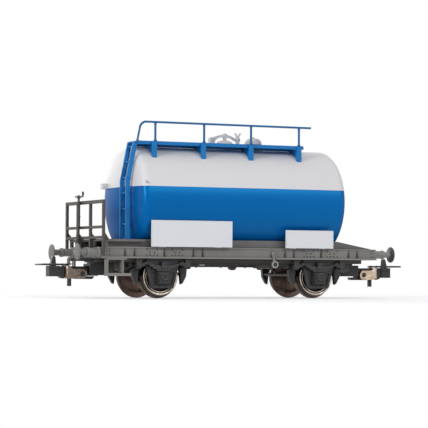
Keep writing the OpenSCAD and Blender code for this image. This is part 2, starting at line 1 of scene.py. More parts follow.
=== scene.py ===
"""Looks of a 1:87 two-axle railway tank wagon: finishes, fine mouldings, light and camera.

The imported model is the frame: +X runs along the wagon away from the platform end, -Y is the
walkway side, called near, and the wheel flanges stand on z = 0. Shapes are drawn in millimetres
and turned into metres when a piece is made.
"""

import json
import math

import bmesh
import bpy
from mathutils import Matrix, Vector


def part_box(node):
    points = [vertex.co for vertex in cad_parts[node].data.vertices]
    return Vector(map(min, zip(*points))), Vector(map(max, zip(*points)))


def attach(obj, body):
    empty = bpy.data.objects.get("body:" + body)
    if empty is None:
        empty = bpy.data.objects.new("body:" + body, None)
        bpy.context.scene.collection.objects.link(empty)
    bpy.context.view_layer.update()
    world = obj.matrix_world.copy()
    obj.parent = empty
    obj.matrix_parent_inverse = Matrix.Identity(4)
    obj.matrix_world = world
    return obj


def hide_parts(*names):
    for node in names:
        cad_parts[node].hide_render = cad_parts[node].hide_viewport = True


MM = 0.001
NEAR, FAR = -1, 1
LEFT, RIGHT = -1, 1
SIDES = ((NEAR, "near"), (FAR, "far"))
ENDS = ((LEFT, "left"), (RIGHT, "right"))
X, Y, Z = Vector((1, 0, 0)), Vector((0, 1, 0)), Vector((0, 0, 1))

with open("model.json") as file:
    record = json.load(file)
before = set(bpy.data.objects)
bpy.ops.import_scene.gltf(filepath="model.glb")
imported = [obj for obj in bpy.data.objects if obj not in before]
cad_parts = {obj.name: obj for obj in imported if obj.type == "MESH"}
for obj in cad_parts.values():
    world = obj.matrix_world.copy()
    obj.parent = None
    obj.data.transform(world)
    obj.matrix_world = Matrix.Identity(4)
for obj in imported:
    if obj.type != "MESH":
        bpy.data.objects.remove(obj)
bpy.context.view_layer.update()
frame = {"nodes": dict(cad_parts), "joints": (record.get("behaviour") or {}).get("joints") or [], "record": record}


def span(node):
    """The lowest and highest corner of a CAD node, in millimetres."""
    low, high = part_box(node)
    return low / MM, high / MM


def joint_place(name):
    """Where a joint's axis passes, in millimetres."""
    place = next(j["pos_m"] for j in frame["joints"] if j["name"] == name)
    return Vector(place) / MM


# ---------------------------------------------------------------- places taken from the frame

tank_low, tank_high = span("tank")
TANK_R = (tank_high.y - tank_low.y) / 2
TANK_Z = (tank_high.z + tank_low.z) / 2
TANK_END = tank_high.x

AXLE_X, _, AXLE_Z = joint_place("right_wheels_roll")
LOOP_PIN_X, _, LOOP_PIN_Z = joint_place("right_loop_lift")

# The solebar's and the headstock's flat faces, behind their ribs and base rings
SOLE_FACE = span("solebar_far")[1].y - 0.4
HEADSTOCK_FACE = span("headstock_right")[1].x - 0.35


# ---------------------------------------------------------------- places that several pieces share

DISH_DEPTH = 4.1                # of the tank's ends
KNUCKLE_R = 2.3                 # where a dished end turns into the barrel
STRIPE_Z = TANK_Z + 3.45        # blue below, white above
BRACKET_X = [-27.0, -11.6, 3.65, 19.35]
BRACKET_FACE = -9.42            # the inner side of the walkway brackets' outer flange
WALKWAY_UNDERSIDE = 43.72
RAIL_POST_X = [-26.7, -11.4, 3.65, 19.35]
RAILING_POST_Y = [-4.3, 5.3]    # the two middle posts
RAILING_INNER_X = -43.8
BRAKE_COLUMN = Vector((-45.05, 2.6, 0))
BUFFER_BASE = Vector((43.85, 10.05, 13.0))
SIGN_BASE_Z = 14.6
WHEEL_BACK_Y = 7.2
BOLT_BEDDING = 0.03             # how deep rivets and bolts start below a surface


# ---------------------------------------------------------------- materials

def srgb(r, g, b):
    """A colour written as 0 to 255 screen values, as the linear RGBA that Blender wants."""
    def linear(v):
        v /= 255
        return v / 12.92 if v <= 0.04045 else ((v + 0.055) / 1.055) ** 2.4
    return (linear(r), linear(g), linear(b), 1.0)


def scaled(colour, factor):
    """A colour made darker or lighter."""
    return tuple(min(1.0, c * factor) for c in colour[:3]) + (1.0,)


def new_material(name):
    """A material with its nodes, its links and its main shader."""
    material = bpy.data.materials.new(name)
    material.use_nodes = True
    nodes = material.node_tree.nodes
    return material, nodes, material.node_tree.links, nodes["Principled BSDF"]


def noise(nodes, links, coordinates, scale, detail=3.0, roughness=0.6):
    """Noise with a scale counted per metre."""
    node = nodes.new("ShaderNodeTexNoise")
    node.inputs["Scale"].default_value = scale
    node.inputs["Detail"].default_value = detail
    node.inputs["Roughness"].default_value = roughness
    links.new(coordinates, node.inputs["Vector"])
    return node


def ramp(nodes, links, value, stops):
    """A colour ramp with (position, colour) stops."""
    node = nodes.new("ShaderNodeValToRGB")
    elements = node.color_ramp.elements
    elements[0].position, elements[0].color = stops[0]
    elements[1].position, elements[1].color = stops[-1]
    for position, colour in stops[1:-1]:
        elements.new(position).color = colour
    links.new(value, node.inputs["Fac"])
    return node


def spread(nodes, links, value, low, high):
    """Maps a 0 to 1 value to the span from low to high."""
    node = nodes.new("ShaderNodeMapRange")
    node.inputs["To Min"].default_value = low
    node.inputs["To Max"].default_value = high
    links.new(value, node.inputs["Value"])
    return node


def blend_towards(nodes, links, amount, base, colour):
    """Mixes from a colour output towards a constant colour by a 0 to 1 amount."""
    mix = nodes.new("ShaderNodeMix")
    mix.data_type = "RGBA"
    links.new(amount, mix.inputs["Factor"])
    links.new(base, mix.inputs["A"])
    mix.inputs["B"].default_value = colour
    return mix.outputs["Result"]


def patches(nodes, links, value, low, high, strength):
    """An amount that is 0 at the value low and has its full strength at high, which may be the lower one."""
    stops = [(low, (0, 0, 0, 1)), (high, (strength,) * 3 + (1,))]
    return ramp(nodes, links, value, sorted(stops)).outputs["Color"]


def add_bump(nodes, links, shader, height, strength, distance_mm):
    """Fine relief in a shader's surface, from a height value."""
    bump = nodes.new("ShaderNodeBump")
    bump.inputs["Strength"].default_value = strength
    bump.inputs["Distance"].default_value = distance_mm * MM
    links.new(height, bump.inputs["Height"])
    links.new(bump.outputs["Normal"], shader.inputs["Normal"])


def openness(nodes, reach_mm):
    """1 on open surfaces, falling towards 0 in corners and gaps."""
    node = nodes.new("ShaderNodeAmbientOcclusion")
    node.samples = 6
    node.inputs["Distance"].default_value = reach_mm * MM
    return node.outputs["AO"]


CLOUD_SCALE, SPECK_SCALE, GRAIN_SCALE, MARK_SCALE = 230.0, 1900.0, 9000.0, 14000.0
DUST_COLOUR = srgb(140, 134, 126)
GRAIN_DEPTH = 0.02
CORNER_REACH = 0.9


def plastic(name, colour, roughness=0.5, mottle=0.06, grain=0.15, specular=0.3, dust=0.0, edge=0.0, corner_shade=0.0,
            shine=None):
    """Moulded or sprayed plastic.

    It has soft colour clouds, uneven gloss and a satin grain. dust adds pale specks, edge a painted highlight
    of pale colour along sharp edges, and corner_shade painted shade that darkens corners and gaps. shine is the
    colour of its highlights.
    """
    material, nodes, links, shader = new_material(name)
    coordinates = nodes.new("ShaderNodeTexCoord").outputs["Object"]
    clouds = noise(nodes, links, coordinates, CLOUD_SCALE, 4.0)
    tint = ramp(nodes, links, clouds.outputs["Fac"], [
        (0.3, scaled(colour, 1 - mottle)), (0.52, colour), (0.75, scaled(colour, 1 + mottle))])
    base = tint.outputs["Color"]
    if dust:
        specks = noise(nodes, links, coordinates, SPECK_SCALE, 7.0, 0.72)
        amount = patches(nodes, links, specks.outputs["Fac"], 0.52, 0.78, dust)
        base = blend_towards(nodes, links, amount, base, DUST_COLOUR)
    # painted highlight: the colour turns pale along sharp, outward edges
    if edge:
        rim = nodes.new("ShaderNodeNewGeometry").outputs["Pointiness"]
        amount = patches(nodes, links, rim, 0.51, 0.6, edge)
        base = blend_towards(nodes, links, amount, base, scaled(colour, 2.2))
    # painted shade: the colour darkens towards near black where corners and gaps hem the surface in
    if corner_shade:
        amount = patches(nodes, links, openness(nodes, CORNER_REACH), 0.85, 0.25, corner_shade)
        base = blend_towards(nodes, links, amount, base, scaled(colour, 0.18))
    links.new(base, shader.inputs["Base Color"])
    gloss = spread(nodes, links, clouds.outputs["Fac"], roughness - 0.07, roughness + 0.07)
    links.new(gloss.outputs["Result"], shader.inputs["Roughness"])
    fine = noise(nodes, links, coordinates, GRAIN_SCALE)
    add_bump(nodes, links, shader, fine.outputs["Fac"], grain, GRAIN_DEPTH)
    shader.inputs["Specular IOR Level"].default_value = specular
    if shine:
        # satin paint: tinted highlights that fade where it is seen at a slant
        shader.inputs["Specular Tint"].default_value = shine
        facing = nodes.new("ShaderNodeLayerWeight").outputs["Facing"]
        fade = spread(nodes, links, facing, 2.4 * specular, 0.06 * specular)
        fade.inputs["From Min"].default_value = 0.2
        fade.inputs["From Max"].default_value = 0.55
        links.new(fade.outputs["Result"], shader.inputs["Specular IOR Level"])
    return material


def metal(name, colour, dull, roughness=0.28, scale=500.0):
    """Plated or blackened metal with a patchy film and fine tool marks; the dark tread and flange colours are
    painted reflections.
    """
    material, nodes, links, shader = new_material(name)
    coordinates = nodes.new("ShaderNodeTexCoord").outputs["Object"]
    film = noise(nodes, links, coordinates, scale, 5.0, 0.65)
    tint = ramp(nodes, links, film.outputs["Fac"], [(0.32, dull), (0.62, colour)])
    links.new(tint.outputs["Color"], shader.inputs["Base Color"])
    gloss = spread(nodes, links, film.outputs["Fac"], roughness + 0.12, roughness - 0.05)
    links.new(gloss.outputs["Result"], shader.inputs["Roughness"])
    marks = noise(nodes, links, coordinates, MARK_SCALE, 2.0)
    add_bump(nodes, links, shader, marks.outputs["Fac"], 0.12, GRAIN_DEPTH)
    shader.inputs["Metallic"].default_value = 1.0
    return material


TANK_BLUE = plastic("tank_blue_paint", srgb(0, 93, 165), roughness=0.32, mottle=0.03, grain=0.04,
                    specular=0.4, shine=srgb(60, 190, 255))
TANK_WHITE = plastic("tank_white_paint", srgb(224, 223, 225), roughness=0.45, mottle=0.012, grain=0.04,
                     specular=0.2)
WALK = plastic("walkway_blue_plastic", srgb(18, 118, 188), roughness=0.42, mottle=0.06, grain=0.1,
               specular=0.25, corner_shade=0.7)
RAIL_BLUE = plastic("handrail_blue_plastic", srgb(14, 97, 152), roughness=0.4, mottle=0.06, grain=0.08)
FRAME = plastic("frame_grey_plastic", srgb(126, 124, 121), roughness=0.55, mottle=0.05, grain=0.18, edge=0.2,
                corner_shade=0.75)
# painted shade: a near black copy of the frame grey, so the solebar rivets and ribs read as shadowed dots and
# wedges
FRAME_SHADE = plastic("frame_shade_plastic", srgb(52, 50, 48), roughness=0.55, mottle=0.05, grain=0.15)
CRADLE = plastic("cradle_grey_plastic", srgb(112, 110, 109), roughness=0.55, mottle=0.06, grain=0.18,
                 corner_shade=0.6)
RAILING = plastic("railing_brown_plastic", srgb(72, 67, 64), roughness=0.55, mottle=0.07, grain=0.18,
                  edge=0.15, corner_shade=0.6)
RING = plastic("ring_grey_plastic", srgb(170, 170, 166), roughness=0.5, mottle=0.05, grain=0.15)
BUFFER = plastic("buffer_grey_plastic", srgb(110, 106, 102), roughness=0.45, mottle=0.06, grain=0.12,
                 specular=0.4)
# painted shade: a darker copy of the buffer grey for the backs of the buffer heads
BUFFER_SHADE = plastic("buffer_shade_plastic", srgb(70, 67, 65), roughness=0.45, mottle=0.08, grain=0.12,
                      specular=0.4)
SLEEVE = plastic("buffer_sleeve_plastic", srgb(138, 137, 135), roughness=0.4, mottle=0.06, grain=0.12,
                 corner_shade=0.4)
BLACK = plastic("running_gear_plastic", srgb(38, 38, 39), roughness=0.42, mottle=0.12, grain=0.2,
                specular=0.4, dust=0.1, edge=0.4, corner_shade=0.9)
# a lighter copy of the running gear black, for the raised details of the axle guards
BLACK_LIGHTER = plastic("running_gear_lighter_plastic", srgb(58, 58, 59), roughness=0.42, mottle=0.1, grain=0.2,
                     specular=0.4, edge=0.3, corner_shade=0.8)
UNDERFRAME = plastic("underframe_brown_plastic", srgb(84, 80, 76), roughness=0.5, mottle=0.14, grain=0.22,
                     dust=0.2, corner_shade=0.8)
FITTING = plastic("fitting_grey_plastic", srgb(206, 206, 210), roughness=0.5, mottle=0.04, grain=0.1,
                  corner_shade=0.5)
SIGN = plastic("sign_white_print", srgb(229, 231, 236), roughness=0.42, mottle=0.01, grain=0.03)
NICKEL = metal("wheel_nickel", srgb(206, 192, 180), srgb(160, 146, 134), roughness=0.24)
# painted reflection: the flange and tread metals are darkened to stand for the dark surroundings they mirror
FLANGE = metal("wheel_flange_burnished", srgb(118, 104, 96), srgb(74, 64, 58), roughness=0.26)
TREAD = metal("wheel_tread_blackened", srgb(70, 63, 60), srgb(36, 32, 31), roughness=0.3)
WHEEL_BACK = metal("wheel_back_brown", srgb(134, 114, 105), srgb(84, 69, 63), roughness=0.36, scale=200.0)
WHEEL_WEB = metal("wheel_web_brown", srgb(92, 80, 74), srgb(44, 38, 36), roughness=0.36, scale=260.0)
AXLE_STEEL = metal("axle_steel", srgb(140, 132, 124), srgb(84, 76, 70), roughness=0.35)
BRONZE = metal("strap_bronze", srgb(214, 194, 176), srgb(164, 138, 116), roughness=0.3)
# painted shade: a darker copy of the strap bronze for the left strap
BRONZE_SHADE = metal("strap_bronze_shade", srgb(142, 128, 117), srgb(98, 84, 74), roughness=0.34)
# the loop wire's own dark metal, also laid on the strap tabs as a painted dark reflection
WIRE = metal("loop_wire_blackened_and_tab_reflection", srgb(64, 64, 64), srgb(40, 40, 41), roughness=0.36)
BALLAST = metal("ballast_zinc", srgb(150, 150, 150), srgb(110, 108, 104), roughness=0.42, scale=300.0)

FINISH = {
    "tank_paint": TANK_BLUE, "walkway_blue": WALK, "frame_grey": FRAME, "cradle_grey": CRADLE,
    "railing_brown": RAILING, "buffer_grey": BUFFER, "black_plastic": BLACK, "fitting_grey": FITTING,
    "sign_white": SIGN, "wheel_nickel": NICKEL, "axle_steel": AXLE_STEEL, "strap_bronze": BRONZE,
    "ballast_steel": BALLAST,
}
SPECIAL_FINISH = {
    "handrail": RAIL_BLUE, "brake_cylinder": UNDERFRAME, "air_reservoir": UNDERFRAME,
    # the left strap takes the darker bronze, painted shade
    "brake_beams": UNDERFRAME, "floor_plate": UNDERFRAME, "strap_left": BRONZE_SHADE,
}


# ---------------------------------------------------------------- drawing in millimetres

CRISP_ANGLE = math.radians(35)
BEVEL_ANGLE = math.radians(38)
WELD_REACH = 0.0005


def link(obj):
    bpy.context.scene.collection.objects.link(obj)
    return obj


def paint(obj, material):
    obj.data.materials.clear()
    obj.data.materials.append(material)


def smooth_faces(mesh):
    for polygon in mesh.polygons:
        polygon.use_smooth = True


def soften(obj, width):
    """Rounds the sharp edges, the way a moulding tool leaves them."""
    weld = obj.modifiers.new("weld", "WELD")
    weld.merge_threshold = WELD_REACH * MM
    bevel = obj.modifiers.new("round_edges", "BEVEL")
    bevel.width = width * MM
    bevel.segments = 2
    bevel.limit_method = "ANGLE"
    bevel.angle_limit = BEVEL_ANGLE
    bevel.use_clamp_overlap = True
    bevel.miter_outer = "MITER_ARC"
    normals = obj.modifiers.new("even_shading", "WEIGHTED_NORMAL")
    normals.keep_sharp = True


def piece(name, bm, *materials, slot, body="wagon", replaces=(), round_edges=0.0):
    """Makes a named piece from a shape drawn in millimetres, smooth apart from its crisp edges."""
    bmesh.ops.recalc_face_normals(bm, faces=bm.faces)
    bmesh.ops.scale(bm, vec=(MM, MM, MM), verts=bm.verts)
    mesh = bpy.data.meshes.new(name)
    bm.to_mesh(mesh)
    bm.free()
    obj = link(bpy.data.objects.new(name, mesh))
    for material in materials:
        mesh.materials.append(material)
    smooth_faces(mesh)
    mesh.set_sharp_from_angle(angle=CRISP_ANGLE)
    if round_edges:
        soften(obj, round_edges)
    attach(obj, body)
    if replaces:
        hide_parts(*replaces)


def across(axis):
    """Two unit vectors square to an axis and to each other."""
    axis = axis.normalized()
    helper = Z if abs(axis.z) < 0.9 else X
    u = axis.cross(helper).normalized()
    return u, axis.cross(u)


def ring_of_points(bm, middle, u, v, radius, count):
    """Points on a circle in the plane of two unit vectors."""
    turns = [2 * math.pi * k / count for k in range(count)]
    return [bm.verts.new(middle + (u * math.cos(t) + v * math.sin(t)) * radius) for t in turns]


def join_rings(bm, first, second, segments, material=0):
    """Fills the band between two rings, or between a ring and a single point."""
    for k in range(segments):
        n = (k + 1) % segments
        corners = [ring[i % len(ring)] for ring, i in ((first, k), (first, n), (second, n), (second, k))]
        corners = list(dict.fromkeys(corners))
        if len(corners) > 2:
            bm.faces.new(corners).material_index = material


def lathe(bm, outline, centre, axis, segments=48, material=0, materials=None):
    """Turns (radius, distance along the axis) points round an axis through the centre.

    materials, if given, holds one material index for each step of the outline.
    """
    u, v = across(axis)
    rings = []
    for radius, along in outline:
        middle = centre + axis * along
        rings.append(ring_of_points(bm, middle, u, v, radius, segments) if radius else [bm.verts.new(middle)])
    for k, (first, second) in enumerate(zip(rings, rings[1:])):
        join_rings(bm, first, second, segments, materials[k] if materials else material)


def tube(bm, points, radius, sides=16):
    """A round bar along a run of points, with flat ends."""
    rings = []
    u = None
    for k, point in enumerate(points):
        ahead = points[min(k + 1, len(points) - 1)] - points[max(k - 1, 0)]
        ahead.normalize()
        u = across(ahead)[0] if u is None else (u - ahead * u.dot(ahead)).normalized()
        rings.append(ring_of_points(bm, point, u, ahead.cross(u), radius, sides))
    for first, second in zip(rings, rings[1:]):
        join_rings(bm, first, second, sides)
    bm.faces.new(rings[0])
    bm.faces.new(rings[-1])


def box(bm, low, high):
    """A block between two opposite corners."""
    corners = [bm.verts.new((x, y, z)) for x in (low[0], high[0]) for y in (low[1], high[1])
               for z in (low[2], high[2])]
    for face in ((0, 1, 3, 2), (4, 6, 7, 5), (0, 4, 5, 1), (2, 3, 7, 6), (0, 2, 6, 4), (1, 5, 7, 3)):
        bm.faces.new([corners[i] for i in face])


def prism(bm, outline, direction, low, high):
    """An outline in the plane square to a direction, X or Y or Z, given thickness along it."""
    def place(point, along):
        a, b = point
        return {"X": (along, a, b), "Y": (a, along, b), "Z": (a, b, along)}[direction]
    ends = [[bm.verts.new(place(p, along)) for p in outline] for along in (low, high)]
    count = len(outline)
    for k in range(count):
        n = (k + 1) % count
        bm.faces.new([ends[0][k], ends[0][n], ends[1][n], ends[1][k]])
    for end in ends:
        bm.faces.new(end)


def rivet(bm, place, normal, radius, height, sides=10):
    """A low round rivet head that stands on a surface."""
    outline = [(radius, -BOLT_BEDDING), (radius, 0.2 * height), (radius * 0.8, 0.7 * height),
               (radius * 0.4, 0.95 * height), (0, height)]
    lathe(bm, outline, Vector(place), normal, sides)


def bolt(bm, place, normal, radius, height):
    """A hexagonal head with a round stud end on it."""
    head = [(radius, -BOLT_BEDDING), (radius, 0.75 * height), (radius * 0.85, height), (0, height)]
    stud = [(radius * 0.45, height * 0.9), (radius * 0.45, height * 1.35), (0, height * 1.4)]
    lathe(bm, head, Vector(place), normal, 6)
    lathe(bm, stud, Vector(place), normal, 10)


# ---------------------------------------------------------------- CAD nodes that stay

EDGE_ROUND = {
    "headstock_left": 0.1, "headstock_right": 0.1, "solebar_near": 0.06, "solebar_far": 0.06,
    "cradle_beams": 0.12, "end_platform": 0.08, "end_railing": 0.09, "handbrake": 0.05, "walkway": 0.06,
    "walkway_brackets": 0.07, "ladder": 0.08, "signs_near": 0.05, "signs_far": 0.05, "corner_steps": 0.07,
    "axle_guards_near": 0.09, "axle_guards_far": 0.09, "leaf_springs_near": 0.05, "leaf_springs_far": 0.05,
    "brake_shoes": 0.1, "coupler_left": 0.1, "coupler_right": 0.1, "coupler_pocket_left": 0.08,
    "coupler_pocket_right": 0.08, "strap_left": 0.06, "strap_right": 0.06, "loop_wire_left": 0.1,
    "loop_wire_right": 0.1, "valve_box": 0.12, "manhole_clamp": 0.06, "draw_hook": 0.08,
    "changeover_levers": 0.06, "brake_cylinder": 0.1, "tank_saddles": 0.1, "ballast_weight": 0.08,
}


def finish_cad_nodes():
    """Gives every CAD node its slot's finish and rounds its edges a little."""
    for part in frame["record"]["subparts"]:
        node = part["node"]
        obj = frame["nodes"][node]
        paint(obj, SPECIAL_FINISH.get(node, FINISH[part["material_slot"]]))
        if "custom_normal" in obj.data.attributes:
            obj.data.attributes.remove(obj.data.attributes["custom_normal"])
        if node in EDGE_ROUND:
            soften(obj, EDGE_ROUND[node])
        smooth_faces(obj.data)


finish_cad_nodes()


# ---------------------------------------------------------------- tank

def tank_outline():
    """Radius and distance along the tank, from the middle of one dished end to the middle of the other."""
    barrel = TANK_END - DISH_DEPTH
    rim = TANK_R - KNUCKLE_R
    crown = (DISH_DEPTH ** 2 - KNUCKLE_R ** 2 + rim ** 2) / (2 * (DISH_DEPTH - KNUCKLE_R))
    turn = math.asin(rim / (crown - KNUCKLE_R))
    crown_steps, knuckle_steps = 18, 8
    half = [(0, TANK_END)]
    for k in range(1, crown_steps + 1):
        a = turn * k / crown_steps
        half.append((crown * math.sin(a), TANK_END - crown + crown * math.cos(a)))
    for k in range(1, knuckle_steps + 1):
        a = (math.pi / 2 - turn) * (1 - k / knuckle_steps)
        half.append((rim + KNUCKLE_R * math.cos(a), barrel + KNUCKLE_R * math.sin(a)))
    half += [(TANK_R, barrel - 0.2), (TANK_R, barrel - 1.2), (TANK_R, barrel / 2)]
    return half + [(r, -x) for r, x in reversed(half)]


def tank_skin():
    """The tank, cut at the stripe so that each side of it takes its own paint."""
    bm = bmesh.new()
    lathe(bm, tank_outline(), Vector((0, 0, TANK_Z)), X, 192)
    geometry = list(bm.verts) + list(bm.edges) + list(bm.faces)
    bmesh.ops.bisect_plane(bm, geom=geometry, plane_co=(0, 0, STRIPE_Z), plane_no=Z, dist=1e-4)
    for face in bm.faces:
        face.material_index = 1 if face.calc_center_median().z > STRIPE_Z else 0
    piece("tank_skin", bm, TANK_BLUE, TANK_WHITE, slot="tank_paint", replaces=["tank"])


def tank_lug():
    """The small moulded lug on the barrel's left edge, above the stripe."""
    bm = bmesh.new()
    z = STRIPE_Z + 1.0
    surface = -math.sqrt(TANK_R ** 2 - (z - TANK_Z) ** 2)
    outline = [(-31.6, z + 0.5), (-31.3, z + 0.5), (-31.2, z), (-30.3, z - 0.15), (-30.3, z - 0.38),
               (-31.5, z - 0.25)]
    prism(bm, outline, "Y", surface - 0.1, surface + 0.8)
    piece("tank_lug", bm, RING, slot="tank_paint", round_edges=0.04)


def tank_fittings():
    """Bolts, hinge pins and ribs of the manhole and the valve cap."""
    low, high = span("manhole_cover")
    seat = Vector(((low.x + high.x) / 2, 0, high.z - 1.3))
    bm = bmesh.new()
    count, circle = 10, 2.78
    for k in range(count):
        a = 2 * math.pi * (k + 0.5) / count
        bolt(bm, seat + Vector((circle * math.cos(a), circle * math.sin(a), 0)), Z, 0.24, 0.2)
    lathe(bm, [(2.96, -0.75), (3.02, -0.6), (2.96, -0.45)], seat, Z, 48)
    for hinge in (Vector((-4.4, 0, 46.2)), Vector((4.0, 0, 44.8))):
        tube(bm, [hinge - Y, hinge + Y], 0.26, 14)
    for side in (NEAR, FAR):
        rivet(bm, (-4.4, side * 0.8, 44.7), Y * side, 0.2, 0.12)
        bolt(bm, (-2.6, side * 0.45, 47.25), Y * side, 0.2, 0.15)
        bolt(bm, (2.2, side * 0.45, 47.0), Y * side, 0.2, 0.15)
    lathe(bm, [(0.62, 0), (0.62, 0.3), (0.45, 0.42), (0, 0.45)], Vector((-0.2, 0, 47.9)), Z, 6)
    # the valve cap's grip ribs and its top bolt
    low, high = span("valve_cap")
    top = Vector(((low.x + high.x) / 2, 0, high.z))
    count, circle = 18, 2.3
    for k in range(count):
        a = 2 * math.pi * k / count
        foot = top + Vector((circle * math.cos(a), circle * math.sin(a), -3.2))
        tube(bm, [foot, foot + Z * 1.46], 0.09, 8)
    bolt(bm, top - Z * 0.02, Z, 0.45, 0.3)
    piece("tank_fittings", bm, FITTING, slot="fitting_grey")
    bm = bmesh.new()
    low, high = span("valve_box")
    for y in (low.y + 0.3, high.y - 0.3):
        for z in (low.z + 0.3, high.z - 0.3):
            rivet(bm, (low.x, y, z), -X, 0.12, 0.08)
    piece("valve_box_screws", bm, FITTING, slot="fitting_grey")


# ---------------------------------------------------------------- walkway, rail and deck

def chequer(bm, x_span, y_span, top, step, height):
    """Raised lozenges, slanting by turns one way and the other, like an anti-slip tread."""
    count_x = int((x_span[1] - x_span[0]) / step)
    count_y = int((y_span[1] - y_span[0]) / step)
    for i in range(count_x + 1):
        for j in range(count_y + 1):
            x = x_span[0] + (x_span[1] - x_span[0]) * i / count_x
            y = y_span[0] + (y_span[1] - y_span[0]) * j / count_y
            lean = 1 if (i + j) % 2 else -1
            middle = Vector((x, y))
            along, aside = Vector((0.27, 0.27 * lean)), Vector((-0.055 * lean, 0.055))
            lozenge = [middle - along, middle - aside, middle + along, middle + aside]
            prism(bm, lozenge, "Z", top - 0.02, top + height)


def walkway_tread():
    """The walkway's chequered tread, and the rivets and gussets of its brackets."""
    low, high = span("walkway")
    margin = 0.55
    bm = bmesh.new()
    chequer(bm, (low.x + margin, high.x - margin), (low.y + margin, high.y - margin), high.z, 0.86, 0.06)
    piece("walkway_tread", bm, WALK, slot="walkway_blue")
    bm = bmesh.new()
    for x in BRACKET_X:
        for z in (43.5, 42.6, 38.1):
            for dx in (-0.5, 0.5):
                rivet(bm, (x + dx, -10.0, z), -Y, 0.13, 0.09)
        # gussets between the walkway and the bracket's outer flange
        gusset = [(BRACKET_FACE, WALKWAY_UNDERSIDE), (BRACKET_FACE, 42.2), (-7.9, WALKWAY_UNDERSIDE)]
        for side in (-1, 1):
            prism(bm, gusset, "X", x + side * 0.24, x + side * 0.42)
    piece("walkway_bracket_rivets", bm, WALK, slot="walkway_blue")


def handrail_fittings():
    """A foot and a top socket on each post."""
    bm = bmesh.new()
    low, high = span("handrail")
    y = (low.y + high.y) / 2
    foot = [(0.33, 0), (0.52, 0.02), (0.52, 0.2), (0.42, 0.34), (0.32, 0.4)]
    socket = [(0.32, -0.75), (0.38, -0.62), (0.4, -0.3), (0.34, 0.02)]
    for x in RAIL_POST_X:
        lathe(bm, foot, Vector((x, y, 44.7)), Z, 20)
        lathe(bm, socket, Vector((x, y, high.z - 0.36)), Z, 20)
    piece("handrail_fittings", bm, RAIL_BLUE, slot="walkway_blue")


def ladder_fittings():
    """A foot plate under each stringer, and the rungs' ends."""
    bm = bmesh.new()
    foot_x, deck, pitch = -34.9, 16.6, 4.4
    bend_z, lean = 33.3, 2.25 / 11.1
    for side, y in ((-1, -9.15), (1, -5.1)):
        for k in range(1, 7):
            z = deck + pitch * k
            x = foot_x + max(0, lean * (z - bend_z))
            rivet(bm, (x, y + side * 0.25, z), Y * side, 0.3, 0.1, 12)
        box(bm, (foot_x - 1.0, y - 0.5, deck), (foot_x + 1.0, y + 0.5, deck + 0.25))
        for dx in (-0.75, 0.75):
            rivet(bm, (foot_x + dx, y, deck + 0.25), Z, 0.14, 0.1)
    piece("ladder_feet", bm, WALK, slot="walkway_blue", round_edges=0.04)


def deck_boards():
    """Boards across the end platform, with their nails, and a strip along both of its edges."""
    bm = bmesh.new()
    low, high = span("end_platform")
    width, gap, last = 1.5, 0.12, -32.4
    top = high.z + 0.07
    x = low.x + 0.15
    while x + width < last:
        box(bm, (x, low.y + gap, high.z - 0.05), (x + width - gap, high.y - gap, top))
        for y in (-12.2, -4.0, 4.0, 12.2):
            rivet(bm, (x + 0.7, y, top), Z, 0.12, 0.05, 8)
        x += width
    # edge strip along both sides of the deck
    for side in (NEAR, FAR):
        box(bm, (low.x, side * 13.5 - 0.06, 16.0), (-31.5, side * 13.5 + 0.06, 16.45))
    piece("deck_boards", bm, CRADLE, slot="cradle_grey", round_edges=0.03)


def railing_rivets():
    """Rivets and foot bolts of the railing, and the gussets that brace its posts."""
    bm = bmesh.new()
    outer = span("end_railing")[0].x
    deck = span("end_platform")[1].z
    back, front = RAILING_INNER_X - 0.1, RAILING_INNER_X + 1.35
    for y in [-13.3] + RAILING_POST_Y + [13.3]:
        gusset = [(back, deck), (front, deck), (front, deck + 0.25), (back, deck + 1.9)]
        prism(bm, gusset, "Y", y - 0.2, y + 0.2)
    for y in [-14.0] + RAILING_POST_Y + [13.9]:
        for z in (17.1, 20.0, 27.1):
            rivet(bm, (outer, y, z), -X, 0.2, 0.1)
            rivet(bm, (RAILING_INNER_X, y, z), X, 0.2, 0.1)
    for y in [-13.335] + RAILING_POST_Y + [13.335]:
        for z in (13.05, 13.85):
            bolt(bm, (outer, y, z), -X, 0.2, 0.14)
    piece("railing_rivets", bm, RAILING, slot="railing_brown")


def handbrake_gear():
    """Bearing, collars and crank knob of the handbrake's column, and the bolts at its foot."""
    bm = bmesh.new()
    bearing = [(0.3, 0), (0.62, 0.05), (0.66, 0.25), (0.5, 0.5), (0.3, 0.55)]
    collar = [(0.46, 0), (0.56, 0.1), (0.56, 0.35), (0.46, 0.45)]
    knob = [(0.25, 0), (0.32, 0.15), (0.34, 0.5), (0.3, 0.8), (0.18, 0.95), (0, 0.97)]
    lathe(bm, bearing, BRAKE_COLUMN + Z * 26.45, Z, 24)
    for height in (20.0, 23.0):
        lathe(bm, collar, BRAKE_COLUMN + Z * height, Z, 24)
    lathe(bm, knob, BRAKE_COLUMN - Y * 3.2 + Z * 29.3, Z, 20)
    for dy in (0.85, 1.3):
        bolt(bm, BRAKE_COLUMN + Vector((-0.3, dy, 12.05)), -X, 0.17, 0.12)
    piece("handbrake_gear", bm, RAILING, slot="railing_brown")


# ---------------------------------------------------------------- frame

def tapered_rib(bm, x, side):
    """An upright rib on the solebar that narrows and thins towards its top."""
    rings = []
    for half, out, z in ((0.3, 0.38, 11.78), (0.24, 0.3, 12.6), (0.13, 0.16, 14.15)):
        rings.append([bm.verts.new((x + dx, side * (SOLE_FACE + dy), z))
                      for dx, dy in ((-half, -0.05), (-half * 0.6, out), (half * 0.6, out), (half, -0.05))])
    for first, second in zip(rings, rings[1:]):
        join_rings(bm, first, second, 4)
    bm.faces.new(rings[0])
    bm.faces.new(rings[-1])


